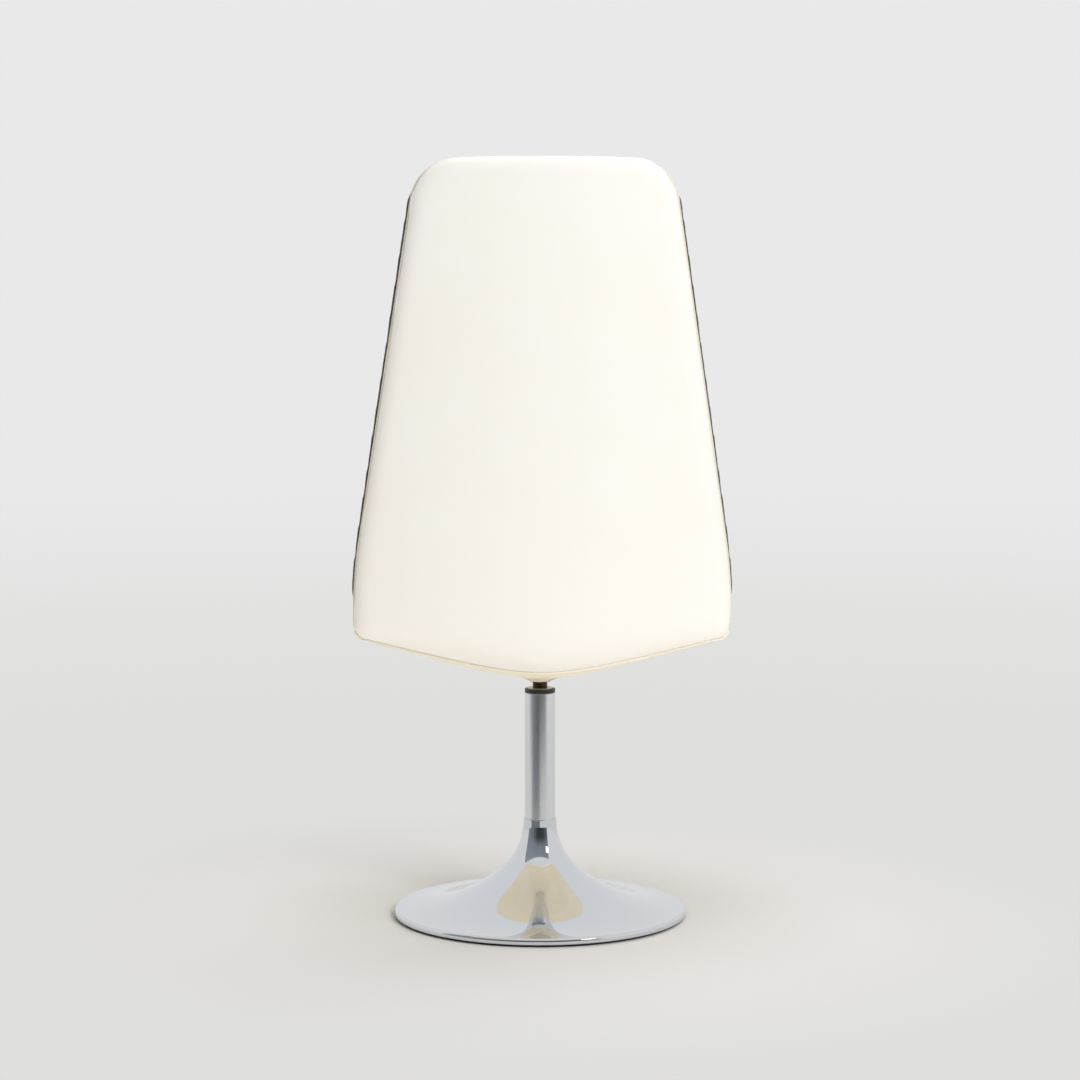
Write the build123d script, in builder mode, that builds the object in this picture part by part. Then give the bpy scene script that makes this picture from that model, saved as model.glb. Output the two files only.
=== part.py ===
"""High-back swivel chair: folded upholstered bucket on a tube and a spun trumpet base.

Millimetres, +Z up. The origin lies on the floor, on the swivel axis. The sitter looks along -Y.
"""

import math
import os

from build123d import *

os.makedirs("parts", exist_ok=True)

# Trumpet base and floor pad
base_diameter = 382.0
sheet = 1.6
neck_top = 128.5
neck_grip = 3.0
flare_radius = 84.0
flare_turn = 50.0
rim_height = 10.0
rim_roll = 3.5
floor_pad_height = 3.0
floor_pad_setback = 4.0
plate_height = 6.0
plate_setback = 11.0

# Column, plug and tie screw
tube_diameter = 40.0
tube_wall = 2.0
tube_top = 295.0
plug_length = 41.0
screw_diameter = 10.0
screw_head_diameter = 20.0
screw_head_angle = 90.0
screw_length = 26.0
thread_depth = 24.0

# Bearing
spindle_diameter = 19.0
flange_height = 5.0
upper_bush_length = 42.0
lower_bush_length = 26.0
lower_bush_height = 66.0
ball_diameter = 14.0
ball_seat_depth = 4.0
washer_diameter = 33.0
washer_height = 1.5
ring_diameter = 27.0
ring_height = 1.5
ring_gap = 5.0
groove_depth = 1.2
groove_drop = 1.0
running_clearance = 0.05
press_clearance = 0.02
contact_gap = 0.3

# Hub, plate and fixings under the seat
hub_diameter = 24.0
hub_bottom = 310.5
seat_plate_top = 338.0
seat_plate_height = 4.0
seat_plate_width = 92.0
seat_plate_corner = 14.0
block_width = 124.0
block_depth = 100.0
block_edge = 8.0
bolt_spacing = 68.0
bolt_diameter = 6.0
bolt_head_diameter = 12.0
bolt_head_height = 3.4
bolt_length = 12.0
bolt_washer_diameter = 15.0
bolt_washer_height = 1.2
bolt_hole_clearance = 0.4
insert_diameter = 10.0
insert_length = 7.0

# Bucket: side profile of the outer surface
recline = 12.0
seat_rise = 7.0
back_setback = 190.0
back_setback_height = 405.0
seat_bottom = 338.5
keel_radius = 100.0
corner_fold_radius = 30.0

# Bucket: width, cup and outline
half_width = 241.0
back_cup = 34.0
seat_cup = 62.0
keel_softness = 76.0
back_height = 981.0
back_hip_height = 452.0
back_hip_radius = 700.0
back_taper = 84.0
back_corner = 60.0
back_top_crown = 4.0
back_top_radius = 3000.0
seat_front = 265.0
seat_hip = 0.0
seat_hip_radius = 900.0
seat_taper = 35.0
seat_corner = 85.0
seat_front_crown = 14.0
seat_front_radius = 900.0

# Bucket: layers from the outside in
cover_thickness = 10.0
cover_edge = 7.0
shell_thickness = 9.0
shell_shave = 0.5
layer_gap = 0.3
welt_grip = 3.0
welt_reach = 90.0
welt_stand = 2.0
seam_angle = 28.0
seam_thickness = 5.0

# Padding in front of the shell
pad_overhang = 7.0
pad_skin = 4.0
pad_lean = 6.0
pad_drop = 10.0
back_pad_edge = 20.0
back_pad_middle = 34.0
back_pad_crown = 6.0
seat_pad_edge = 26.0
seat_pad_middle = 44.0
seat_pad_crown = 8.0

# Tent of vinyl drawn down to the hub
tent_wall = 3.0
tent_foot = 310.0
tent_foot_half = 14.0
tent_hem = 1.5
tent_neck_half = 36.0
tent_neck = 320.5
tent_knee_half = 70.0
tent_knee = 327.5
tent_top_half = 185.0
tent_top = 390.0

# Extra length of a blank or a cutter beyond the face that it leaves
spare = 40.0
# Width that a blank of the bucket has to spare on each side
blank_margin = 8.0
# Reach of an outline cutter to both sides of its plane
cutter_reach = 200.0
# Reach of an outline cutter below the hip of its outline
cutter_lead = 130.0
# Inner cross-sections of the bucket, as shares of its half width
shares = (-0.9, -0.6, -0.3, 0.0, 0.3, 0.6, 0.9)

blank_half = half_width + blank_margin
back_top_half = half_width - back_taper
seat_front_half = half_width - seat_taper
base_half = base_diameter / 2
tube_half = tube_diameter / 2
bore_half = tube_half - tube_wall
spindle_half = spindle_diameter / 2
deck = floor_pad_height + plate_height
plug_top = deck + plug_length
ball_half = ball_diameter / 2
ball_height = plug_top - ball_seat_depth + ball_half
spindle_foot = ball_height + ball_half + contact_gap
bush_end = tube_top - upper_bush_length
groove_top = bush_end - groove_drop
flange_top = tube_top + flange_height
seat_plate_bottom = seat_plate_top - seat_plate_height
shell_depth = cover_thickness + layer_gap
shell_inner = shell_depth + shell_thickness
pad_depth = shell_inner + layer_gap


def turn(angle):
    """Unit vector (y, z) that points down at 0 degrees and backward at 90."""
    return Vector(math.sin(math.radians(angle)), -math.cos(math.radians(angle)))


back_turn = 90.0 - recline
seat_turn = -seat_rise
fold_turn = (back_turn + seat_turn) / 2
back_out = turn(back_turn)
back_up = turn(back_turn + 90.0)
seat_out = turn(seat_turn)
seat_forward = turn(seat_turn - 90.0)
back_offset = Vector(back_setback, back_setback_height).dot(back_out)
seat_offset = Vector(0, seat_bottom).dot(seat_out)


def back_at(x):
    """Distance of the outer back face along its normal, cupped forward towards the sides."""
    return back_offset - back_cup * (x / half_width) ** 2


def seat_at(x):
    """Distance of the seat underside along its normal, rising from a soft keel to the sides."""
    rise = math.hypot(x, keel_softness) - keel_softness
    full = math.hypot(half_width, keel_softness) - keel_softness
    return seat_offset - seat_cup * rise / full


def fold_at(x):
    """Outer radius of the fold, wide at the keel and tight at the corners."""
    return keel_radius + (corner_fold_radius - keel_radius) * (x / half_width) ** 2


def crossing(back, seat):
    """Point (y, z) at these two distances along the back normal and the seat normal."""
    spread = math.cos(math.radians(recline - seat_rise))
    y = -(back * seat_out.Y - seat * back_out.Y) / spread
    z = (back * seat_out.X - seat * back_out.X) / spread
    return Vector(y, z)


def on_back(x, depth, along):
    """Point of the back face at a depth below the outer surface."""
    return back_out * (back_at(x) - depth) + back_up * along


def on_seat(x, depth, along):
    """Point of the seat face at a depth below the outer surface."""
    return seat_out * (seat_at(x) - depth) + seat_forward * along


def on_fold(x, depth, angle):
    """Point of the rounded fold at a depth below the outer surface."""
    centre = crossing(back_at(x) - fold_at(x), seat_at(x) - fold_at(x))
    return centre + turn(angle) * (fold_at(x) - depth)


def back_length(height):
    """Length along the back at which its outer face reaches a height on the centre line."""
    return (height - back_offset * back_out.Y) / back_up.Y


back_top = back_length(back_height)
back_hip = back_length(back_hip_height)
seat_end = (-seat_front - seat_offset * seat_out.X) / seat_forward.X
back_normal = Vector(0, back_out.X, back_out.Y)
seat_normal = Vector(0, seat_out.X, seat_out.Y)
back_plane = Plane(back_normal * back_offset, x_dir=(-1, 0, 0), z_dir=back_normal)
seat_plane = Plane(seat_normal * seat_offset, x_dir=(1, 0, 0), z_dir=seat_normal)


def stations(half):
    """Places across the bucket of the cross-sections that shape it, the last ones at half."""
    return (-half, *(share * half_width for share in shares), half)


def layer(outer, inner, half):
    """Folded sheet between two depths, reaching half to each side, not yet trimmed."""
    top = back_top + spare
    front = seat_end + spare
    with BuildPart() as folded:
        for x in stations(half):
            with BuildSketch(Plane.YZ.offset(x)):
                with BuildLine():
                    for depth in (outer, inner):
                        Line(on_back(x, depth, top), on_fold(x, depth, back_turn))
                        ThreePointArc(
                            on_fold(x, depth, back_turn),
                            on_fold(x, depth, fold_turn),
                            on_fold(x, depth, seat_turn),
                        )
                        Line(on_fold(x, depth, seat_turn), on_seat(x, depth, front))
                    Line(on_back(x, outer, top), on_back(x, inner, top))
                    Line(on_seat(x, outer, front), on_seat(x, inner, front))
                make_face()
        loft()
    return folded.part


def outline(hip, end, end_half, crown, hip_radius, corner, end_radius, margin):
    """Outline of the back or the seat, from well below its hip to its far end."""
    with BuildSketch() as drawn:
        with BuildLine():
            sides = FilletPolyline(
                (-half_width, hip - cutter_reach),
                (-half_width, hip),
                (-end_half, end - crown),
                (0, end),
                (end_half, end - crown),
                (half_width, hip),
                (half_width, hip - cutter_reach),
                radius=(hip_radius, corner, end_radius, corner, hip_radius),
            )
            Line(sides @ 1, sides @ 0)
        make_face()
        offset(amount=margin, kind=Kind.INTERSECTION)
    return drawn.sketch


def back_outline(end, margin):
    """Outline of the back up to an end, grown by a margin."""
    return outline(
        back_hip,
        end,
        back_top_half,
        back_top_crown,
        back_hip_radius,
        back_corner,
        back_top_radius,
        margin,
    )


def seat_outline(margin):
    """Outline of the seat, grown by a margin."""
    return outline(
        seat_hip,
        seat_end,
        seat_front_half,
        seat_front_crown,
        seat_hip_radius,
        seat_corner,
        seat_front_radius,
        margin,
    )


def waste(plane, kept, hip, end):
    """Material that lies outside an outline, past the straight lead below its hip."""
    with BuildPart() as cutter:
        with BuildSketch(plane):
            with BuildLine():
                Polyline(
                    (-half_width - spare, hip - cutter_lead),
                    (-half_width - spare, end + 2 * spare),
                    (half_width + spare, end + 2 * spare),
                    (half_width + spare, hip - cutter_lead),
                    close=True,
                )
            make_face()
            add(kept, mode=Mode.SUBTRACT)
        extrude(amount=cutter_reach, both=True)
    return cutter.part


def drawn_in(plane, kept):
    """Room for a pad inside an outline, its sides leaning in towards the sitter."""
    with BuildPart() as room:
        with BuildSketch(plane):
            add(kept)
        extrude(amount=-cutter_reach, taper=pad_lean)
    return room.part


def trimmed_layer(outer, inner, margin, shave=0):
    """Folded sheet between two depths, cut to both outlines grown by a margin, its sides shaved."""
    with BuildPart() as cut:
        add(layer(outer, inner, half_width + margin - shave))
        add(waste(back_plane, back_outline(back_top, margin), back_hip, back_top), mode=Mode.SUBTRACT)
        add(waste(seat_plane, seat_outline(margin), seat_hip, seat_end), mode=Mode.SUBTRACT)
    return cut.part


def padding(x, middle, edge):
    """Thickness of a pad, full in the middle and thin at the sides."""
    return middle - (middle - edge) * (x / half_width) ** 2


def back_pad(near, skin):
    """Crowned pad of the back from a near depth, taken in by a skin on its other faces."""
    top = back_top + spare
    with BuildPart() as pad:
        for x in stations(blank_half):
            far = pad_depth + padding(x, back_pad_middle, back_pad_edge) - skin
            lap = pad_depth + padding(x, seat_pad_middle, seat_pad_edge)
            heel = on_fold(x, pad_depth, back_turn) + back_up * skin
            crease = crossing(back_at(x) - far, seat_at(x) - lap) + back_up * skin
            heel += (heel - crease) * ((pad_depth - near) / (far - pad_depth))
            halfway = (crease.dot(back_up) + top) / 2
            with BuildSketch(Plane.YZ.offset(x)):
                with BuildLine():
                    Line(on_back(x, near, top), heel)
                    Line(heel, crease)
                    ThreePointArc(
                        crease,
                        on_back(x, far + back_pad_crown, halfway),
                        on_back(x, far, top),
                    )
                    Line(on_back(x, far, top), on_back(x, near, top))
                make_face()
        loft()
        add(
            drawn_in(
                back_plane.offset(-shell_depth),
                back_outline(back_top - pad_drop, pad_overhang - skin),
            ),
            mode=Mode.INTERSECT,
        )
    return pad.part


def seat_pad(near, skin):
    """Crowned pad of the seat from a near depth, tucked under the back pad at its rear."""
    front = seat_end + spare
    with BuildPart() as pad:
        for x in stations(blank_half):
            far = pad_depth + padding(x, back_pad_middle, back_pad_edge)
            lap = pad_depth + padding(x, seat_pad_middle, seat_pad_edge)
            tuck = back_turn - math.degrees((layer_gap + skin) / (fold_at(x) - pad_depth))
            heel = on_fold(x, pad_depth, tuck)
            crease = crossing(back_at(x) - far, seat_at(x) - lap) - back_up * (layer_gap + skin)
            heel += (heel - crease) * ((pad_depth - near) / (far - pad_depth))
            halfway = (crease.dot(seat_forward) + front) / 2
            with BuildSketch(Plane.YZ.offset(x)):
                with BuildLine():
                    ThreePointArc(
                        heel,
                        on_fold(x, near, (tuck + seat_turn) / 2),
                        on_fold(x, near, seat_turn),
                    )
                    Line(on_fold(x, near, seat_turn), on_seat(x, near, front))
                    Line(on_seat(x, near, front), on_seat(x, lap - skin, front))
                    ThreePointArc(
                        on_seat(x, lap - skin, front),
                        on_seat(x, lap - skin + seat_pad_crown, halfway),
                        crease,
                    )
                    Line(crease, heel)
                make_face()
        loft()
        add(
            drawn_in(seat_plane.offset(-shell_depth), seat_outline(pad_overhang - skin)),
            mode=Mode.INTERSECT,
        )
    return pad.part


def tent(foot_half, drop, lift):
    """Solid of the vinyl tent under the seat; a drop and a lift turn it into its hollow."""
    hem = tent_foot + tent_hem + lift
    with BuildPart() as turned:
        with BuildSketch(Plane.XZ):
            with BuildLine():
                Polyline(
                    (tent_top_half, tent_top + lift),
                    (0, tent_top + lift),
                    (0, tent_foot - drop),
                    (foot_half, tent_foot - drop),
                    (foot_half, hem),
                    (tent_neck_half, tent_neck + lift),
                )
                ThreePointArc(
                    (tent_neck_half, tent_neck + lift),
                    (tent_knee_half, tent_knee + lift),
                    (tent_top_half, tent_top + lift),
                )
            make_face()
        revolve(axis=Axis.Z)
    return turned.part


def depth_of(point):
    """Depth of a point below the outer surface of the bucket."""
    x = point.X
    here = Vector(point.Y, point.Z)
    centre = crossing(back_at(x) - fold_at(x), seat_at(x) - fold_at(x))
    arm = here - centre
    if arm.dot(back_up) > 0 and arm.dot(back_out) > 0:
        return back_at(x) - here.dot(back_out)
    if arm.dot(seat_forward) > 0:
        return seat_at(x) - here.dot(seat_out)
    return fold_at(x) - arm.length


def rim_of(faces):
    """Edges round a group of faces, without those that two of them share."""
    edges = [edge for face in faces for edge in face.edges()]
    return [edge for edge in edges if edges.count(edge) == 1]


def ring(inner, outer, bottom, height):
    """Flat ring or sleeve about the swivel axis."""
    with BuildPart() as made:
        with BuildSketch(Plane.XY.offset(bottom)):
            Circle(outer)
            Circle(inner, mode=Mode.SUBTRACT)
        extrude(amount=height)
    return made.part


def at_bolts(radius, bottom, height):
    """Four upright rods, one at each bolt of the seat plate."""
    with BuildPart() as rods:
        with BuildSketch(Plane.XY.offset(bottom)):
            with GridLocations(bolt_spacing, bolt_spacing, 2, 2):
                Circle(radius)
        extrude(amount=height)
    return rods.part


def tie_shape(slack):
    """Countersunk tie screw, grown by a slack to make its hole."""
    head = screw_head_diameter / 2 + slack
    shank = screw_diameter / 2 + slack
    cone = (head - shank) / math.tan(math.radians(screw_head_angle / 2))
    with BuildPart() as turned:
        with BuildSketch(Plane.XZ):
            with BuildLine():
                Polyline(
                    (0, floor_pad_height),
                    (head, floor_pad_height),
                    (shank, floor_pad_height + cone),
                    (shank, floor_pad_height + screw_length),
                    (0, floor_pad_height + screw_length),
                    close=True,
                )
            make_face()
        revolve(axis=Axis.Z)
    return turned.part


# Base that stands on the floor
with BuildPart() as floor_pad:
    with BuildSketch():
        Circle(base_half - floor_pad_setback)
    extrude(amount=floor_pad_height)
floor_pad.part.label = "floor_pad"
export_step(floor_pad.part, "parts/floor_pad.step")

with BuildPart() as base_plate:
    with BuildSketch(Plane.XY.offset(floor_pad_height)):
        Circle(base_half - plate_setback)
    extrude(amount=plate_height)
    add(tie_shape(running_clearance), mode=Mode.SUBTRACT)
base_plate.part.label = "base_plate"
export_step(base_plate.part, "parts/base_plate.step")

neck_middle = tube_half + running_clearance + sheet / 2
rim_middle = base_half - sheet / 2
with BuildPart() as trumpet:
    with BuildSketch(Plane.XZ):
        with BuildLine():
            neck = Line((neck_middle, neck_top), (neck_middle, neck_top - neck_grip))
            flare = JernArc(neck @ 1, neck % 1, flare_radius, flare_turn)
            skirt = TangentArc(flare @ 1, (rim_middle - rim_roll, rim_height), tangent=flare % 1)
            skirt_slope = math.degrees(math.atan2((skirt % 1).Y, (skirt % 1).X))
            roll = JernArc(skirt @ 1, skirt % 1, rim_roll, -90.0 - skirt_slope)
            Line(roll @ 1, ((roll @ 1).X, floor_pad_height))
        trace(line_width=sheet)
    revolve(axis=Axis.Z)
trumpet.part.label = "trumpet"
export_step(trumpet.part, "parts/trumpet.step")

with BuildPart() as column_tube:
    add(ring(bore_half, tube_half, deck, tube_top - deck))
column_tube.part.label = "column_tube"
export_step(column_tube.part, "parts/column_tube.step")

with BuildPart() as column_plug:
    with BuildSketch(Plane.XY.offset(deck)):
        Circle(bore_half - press_clearance)
    extrude(amount=plug_length)
    with BuildSketch(Plane.XY.offset(deck)):
        Circle(screw_diameter / 2 + press_clearance)
    extrude(amount=thread_depth, mode=Mode.SUBTRACT)
    with BuildSketch(Plane.XZ):
        with BuildLine():
            cup = CenterArc((0, ball_height), ball_half + press_clearance, -90, 180)
            Line(cup @ 1, cup @ 0)
        make_face()
    revolve(axis=Axis.Z, mode=Mode.SUBTRACT)
column_plug.part.label = "column_plug"
export_step(column_plug.part, "parts/column_plug.step")

with BuildPart() as tie_screw:
    add(tie_shape(0))
tie_screw.part.label = "tie_screw"
export_step(tie_screw.part, "parts/tie_screw.step")

with BuildPart() as lower_bush:
    add(
        ring(
            spindle_half + running_clearance,
            bore_half - press_clearance,
            lower_bush_height,
            lower_bush_length,
        )
    )
lower_bush.part.label = "lower_bush"
export_step(lower_bush.part, "parts/lower_bush.step")

with BuildPart() as upper_bush:
    add(
        ring(
            spindle_half + running_clearance,
            bore_half - press_clearance,
            bush_end,
            upper_bush_length,
        )
    )
    add(ring(spindle_half + running_clearance, tube_half, tube_top, flange_height))
upper_bush.part.label = "upper_bush"
export_step(upper_bush.part, "parts/upper_bush.step")

with BuildPart() as thrust_ball:
    with BuildSketch(Plane.XZ):
        with BuildLine():
            bow = CenterArc((0, ball_height), ball_half, -90, 180)
            Line(bow @ 1, bow @ 0)
        make_face()
    revolve(axis=Axis.Z)
thrust_ball.part.label = "thrust_ball"
export_step(thrust_ball.part, "parts/thrust_ball.step")

with BuildPart() as top_washer:
    add(ring(spindle_half + contact_gap, washer_diameter / 2, flange_top, washer_height))
top_washer.part.label = "top_washer"
export_step(top_washer.part, "parts/top_washer.step")

# Turning metalwork under the seat
groove_half = spindle_half - groove_depth
groove_height = ring_height + 2 * running_clearance
groove_bottom = groove_top - groove_height
with BuildPart() as spindle:
    with BuildSketch(Plane.XY.offset(spindle_foot)):
        Circle(spindle_half)
    extrude(amount=seat_plate_top - spindle_foot)
    add(ring(groove_half, spindle_half + spare, groove_bottom, groove_height), mode=Mode.SUBTRACT)
spindle.part.label = "spindle"
export_step(spindle.part, "parts/spindle.step")

with BuildPart() as retaining_ring:
    add(
        ring(
            groove_half + press_clearance,
            ring_diameter / 2,
            groove_bottom + running_clearance,
            ring_height,
        )
    )
    with BuildSketch(Plane.XY.offset(groove_bottom)):
        with BuildLine():
            Polyline(
                (0, -ring_gap / 2),
                (ring_diameter, -ring_gap / 2),
                (ring_diameter, ring_gap / 2),
                (0, ring_gap / 2),
                close=True,
            )
        make_face()
    extrude(amount=groove_height, mode=Mode.SUBTRACT)
retaining_ring.part.label = "retaining_ring"
export_step(retaining_ring.part, "parts/retaining_ring.step")

with BuildPart() as spindle_hub:
    add(
        ring(
            spindle_half + press_clearance,
            hub_diameter / 2,
            hub_bottom,
            seat_plate_bottom - hub_bottom,
        )
    )
spindle_hub.part.label = "spindle_hub"
export_step(spindle_hub.part, "parts/spindle_hub.step")

with BuildPart() as seat_plate:
    with BuildSketch(Plane.XY.offset(seat_plate_bottom)):
        RectangleRounded(seat_plate_width, seat_plate_width, seat_plate_corner)
        Circle(spindle_half + press_clearance, mode=Mode.SUBTRACT)
    extrude(amount=seat_plate_height)
    add(
        at_bolts(bolt_diameter / 2 + bolt_hole_clearance, seat_plate_bottom, seat_plate_height),
        mode=Mode.SUBTRACT,
    )
seat_plate.part.label = "seat_plate"
export_step(seat_plate.part, "parts/seat_plate.step")

head_top = seat_plate_bottom - bolt_washer_height
with BuildPart() as plate_screws:
    add(at_bolts(bolt_head_diameter / 2, head_top - bolt_head_height, bolt_head_height))
    add(at_bolts(bolt_diameter / 2, head_top, bolt_length))
plate_screws.part.label = "plate_screws"
export_step(plate_screws.part, "parts/plate_screws.step")

with BuildPart() as screw_washers:
    add(at_bolts(bolt_washer_diameter / 2, head_top, bolt_washer_height))
    add(
        at_bolts(bolt_diameter / 2 + bolt_hole_clearance, head_top, bolt_washer_height),
        mode=Mode.SUBTRACT,
    )
screw_washers.part.label = "screw_washers"
export_step(screw_washers.part, "parts/screw_washers.step")

with BuildPart() as threaded_inserts:
    add(at_bolts(insert_diameter / 2, seat_plate_top, insert_length))
    add(
        at_bolts(bolt_diameter / 2 + press_clearance, seat_plate_top, insert_length),
        mode=Mode.SUBTRACT,
    )
threaded_inserts.part.label = "threaded_inserts"
export_step(threaded_inserts.part, "parts/threaded_inserts.step")

with BuildPart() as mounting_block:
    with BuildSketch(Plane.XY.offset(seat_plate_top)):
        RectangleRounded(block_width, block_depth, block_edge)
    extrude(amount=cutter_reach)
    add(layer(-cutter_reach, cover_thickness, blank_half), mode=Mode.INTERSECT)
    add(
        at_bolts(insert_diameter / 2 + press_clearance, seat_plate_top, insert_length),
        mode=Mode.SUBTRACT,
    )
mounting_block.part.label = "mounting_block"
export_step(mounting_block.part, "parts/mounting_block.step")

# Bucket: shell, outer covers and piping
shell_inset = welt_grip + layer_gap
with BuildPart() as shell:
    add(trimmed_layer(shell_depth, shell_inner, -shell_inset, shell_shave))
shell.part.label = "shell"
export_step(shell.part, "parts/shell.step")

seam_start = on_fold(0, 0, seam_angle)
seam_end = on_fold(half_width, corner_fold_radius, 0)
seam_rise = seam_end - seam_start
seam_normal = Vector(0, seam_rise.Y, -seam_rise.X).normalized()
seam_point = Vector(0, seam_start.X, seam_start.Y)
seam_back = Plane(seam_point + seam_normal * (seam_thickness / 2), z_dir=seam_normal)
seam_front = Plane(seam_point - seam_normal * (seam_thickness / 2), z_dir=seam_normal)

with BuildPart() as cover_blank:
    add(trimmed_layer(0, cover_thickness, 0))
    fillet(
        rim_of(cover_blank.faces().filter_by(lambda face: depth_of(face.center()) < layer_gap)),
        radius=cover_edge,
    )

with BuildPart() as back_cover:
    add(cover_blank.part)
    split(bisect_by=seam_back, keep=Keep.TOP)
back_cover.part.label = "back_cover"
export_step(back_cover.part, "parts/back_cover.step")

with BuildPart() as seam_welt:
    add(layer(-welt_stand, cover_thickness, half_width - cover_edge))
    split(bisect_by=seam_back, keep=Keep.BOTTOM)
    split(bisect_by=seam_front, keep=Keep.TOP)
seam_welt.part.label = "seam_welt"
export_step(seam_welt.part, "parts/seam_welt.step")

with BuildPart() as tent_skin:
    add(tent(tent_foot_half, 0, 0))
    add(layer(-cutter_reach, cover_thickness, blank_half), mode=Mode.INTERSECT)

with BuildPart() as underside_cover:
    add(cover_blank.part)
    add(tent_skin.part)
    split(bisect_by=seam_front, keep=Keep.BOTTOM)
    add(tent(hub_diameter / 2 + contact_gap, tent_wall, tent_wall), mode=Mode.SUBTRACT)
underside_cover.part.label = "underside_cover"
export_step(underside_cover.part, "parts/underside_cover.step")

with BuildPart() as edge_welt:
    add(trimmed_layer(shell_depth, shell_inner, welt_stand))
    for plane, kept in (
        (back_plane, back_outline(back_top, -welt_grip)),
        (seat_plane, seat_outline(-welt_grip)),
    ):
        with BuildSketch(plane):
            add(kept)
        extrude(amount=-welt_reach, mode=Mode.SUBTRACT)
edge_welt.part.label = "edge_welt"
export_step(edge_welt.part, "parts/edge_welt.step")

# Padding of the back and the seat
with BuildPart() as back_foam:
    add(back_pad(pad_depth, pad_skin + layer_gap))
back_foam.part.label = "back_foam"
export_step(back_foam.part, "parts/back_foam.step")

with BuildPart() as back_inner_cover:
    add(back_pad(pad_depth, 0))
    add(back_pad(pad_depth - pad_skin, pad_skin), mode=Mode.SUBTRACT)
back_inner_cover.part.label = "back_inner_cover"
export_step(back_inner_cover.part, "parts/back_inner_cover.step")

with BuildPart() as seat_foam:
    add(seat_pad(pad_depth, pad_skin + layer_gap))
seat_foam.part.label = "seat_foam"
export_step(seat_foam.part, "parts/seat_foam.step")

with BuildPart() as seat_inner_cover:
    add(seat_pad(pad_depth, 0))
    add(seat_pad(pad_depth - pad_skin, pad_skin), mode=Mode.SUBTRACT)
seat_inner_cover.part.label = "seat_inner_cover"
export_step(seat_inner_cover.part, "parts/seat_inner_cover.step")
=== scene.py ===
# %% [markdown]
# # Dressing a high-back swivel chair
# The CAD model is a fixed frame of solids in two bodies: a base that stands on the floor and a
# seat that turns on it. This lesson dresses that frame. Hard pieces are turned or carried along
# a path as numpy surfaces, the padding is blown up by a short cloth simulation, and every
# finish is built from nodes. Lengths are in millimetres until a mesh is made.

import bmesh
import bpy
import numpy as np
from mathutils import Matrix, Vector


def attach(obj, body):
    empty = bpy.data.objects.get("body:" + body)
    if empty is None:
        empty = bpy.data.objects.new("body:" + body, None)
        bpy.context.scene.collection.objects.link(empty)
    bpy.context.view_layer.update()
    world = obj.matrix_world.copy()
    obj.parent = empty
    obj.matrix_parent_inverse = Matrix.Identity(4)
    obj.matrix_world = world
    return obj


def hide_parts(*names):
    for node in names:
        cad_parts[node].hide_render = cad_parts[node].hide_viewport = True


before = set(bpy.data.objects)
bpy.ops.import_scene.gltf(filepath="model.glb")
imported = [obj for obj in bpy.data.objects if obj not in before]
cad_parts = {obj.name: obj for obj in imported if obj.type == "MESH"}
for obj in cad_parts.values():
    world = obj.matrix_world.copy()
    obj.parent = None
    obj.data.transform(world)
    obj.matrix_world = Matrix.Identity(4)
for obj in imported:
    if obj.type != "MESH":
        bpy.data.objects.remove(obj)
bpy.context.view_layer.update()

# %% [markdown]
# ## Camera
# The photograph looks at the chair from behind, from about four metres away and from just below
# the height of the back's top edge. The base's rim shows as an ellipse, and its flatness gives
# the height of the lens. The back stands a little to the right of the column there, so the camera
# is moved a degree round the chair. A long lens keeps the sides of the column straight.

# %% Camera behind the chair
MM = 0.001
photo_size = 1080.0
focal_pixels = 3085.0
horizon_pixel = 222.0
camera_distance = 3990.0
camera_height = 906.0
camera_turn = np.radians(1.2)

camera = bpy.data.objects.new("camera", bpy.data.cameras.new("camera"))
camera.data.sensor_width = 36.0
camera.data.lens = focal_pixels / photo_size * camera.data.sensor_width
tilt = np.arctan((photo_size / 2 - horizon_pixel) / focal_pixels)
stand = camera_distance * np.array([np.sin(camera_turn), np.cos(camera_turn)])
camera.location = np.array([*stand, camera_height]) * MM
camera.rotation_euler = (np.pi / 2 - tilt, 0.0, np.pi - camera_turn)
bpy.context.scene.collection.objects.link(camera)
bpy.context.scene.camera = camera
print("camera: lens", round(camera.data.lens, 1), "mm, tilt", np.degrees(tilt).round(2), "degrees")

# %% [markdown]
# ## From a grid of points to a mesh
# Most pieces here are grids: one parameter runs along the rows and one along the columns. Two
# helpers are enough. The first numbers the quads of a grid, and can join its last row or column
# to the first. The second makes the object, merges points that fall together at a pole, turns
# the faces outwards and hangs the piece on its body.

# %% Grid helpers
merge_distance = 1e-6


def grid_faces(rows, columns, ring_rows=False, ring_columns=False):
    """Corner numbers of the quads between neighbouring rows and columns of a grid."""
    number = np.arange(rows * columns).reshape(rows, columns)
    if ring_rows:
        number = np.concatenate([number, number[:1]])
    if ring_columns:
        number = np.concatenate([number, number[:, :1]], axis=1)
    corners = (number[:-1, :-1], number[1:, :-1], number[1:, 1:], number[:-1, 1:])
    return np.stack(corners, axis=-1).reshape(-1, 4)


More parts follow.
